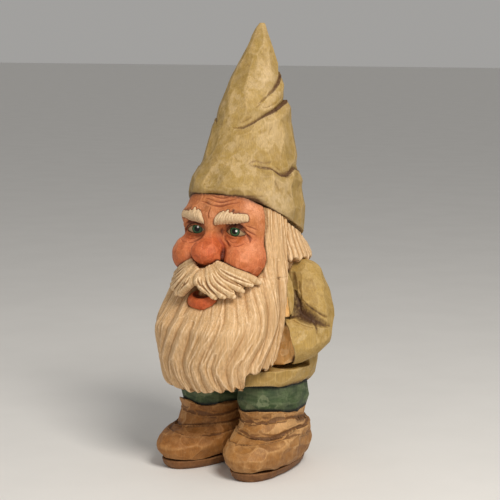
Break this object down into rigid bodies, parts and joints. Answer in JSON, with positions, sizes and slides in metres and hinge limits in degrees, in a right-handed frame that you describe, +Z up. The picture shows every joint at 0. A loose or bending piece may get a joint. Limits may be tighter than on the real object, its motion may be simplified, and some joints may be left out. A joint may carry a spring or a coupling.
{
  "type": "gnome figurine",
  "caption": "Standing carved wooden gnome with a tall leaning hat, a long beard over a short coat, hands tucked under the beard, and wide boots.",
  "frame": {"origin": "on the floor, under the middle of the figure's bounding box", "axes": "+Z up, the figure faces -Y, its left hand is on +X"},
  "size_m": [0.1078, 0.091, 0.25],
  "materials": {
    "hat_paint": "thin olive-tan wash over carved wood, matt",
    "skin_paint": "orange-red wash over carved wood, matt",
    "hair_paint": "cream wash over gouged wood, brown stain in the grooves",
    "eye_paint": "cream with a green iris, satin",
    "coat_paint": "thin olive-khaki wash over carved wood, matt",
    "brown_paint": "brown wash over carved wood, matt",
    "trouser_paint": "dark green wash over carved wood, matt",
    "boot_paint": "golden-brown wash over carved wood, matt",
    "sole_paint": "dark brown wash over carved wood, matt",
    "dowel_wood": "bare hardwood dowel"
  },
  "bodies": {
    "root": {"hat": "hat_paint", "head": "skin_paint", "lower_lip": "skin_paint", "back_hair": "hair_paint", "left_side_lock": "hair_paint", "right_side_lock": "hair_paint", "left_brow": "hair_paint", "right_brow": "hair_paint", "moustache": "hair_paint", "beard": "hair_paint", "left_eye": "eye_paint", "right_eye": "eye_paint", "coat": "coat_paint", "left_arm": "coat_paint", "right_arm": "coat_paint", "waistcoat": "brown_paint", "left_mitten": "brown_paint", "right_mitten": "brown_paint", "trousers": "trouser_paint", "left_boot": "boot_paint", "right_boot": "boot_paint", "left_sole": "sole_paint", "right_sole": "sole_paint", "hat_dowel": "dowel_wood", "neck_dowel": "dowel_wood", "waist_dowel": "dowel_wood", "left_shoulder_dowel": "dowel_wood", "right_shoulder_dowel": "dowel_wood", "left_leg_dowel": "dowel_wood", "right_leg_dowel": "dowel_wood"}
  },
  "joints": []
}
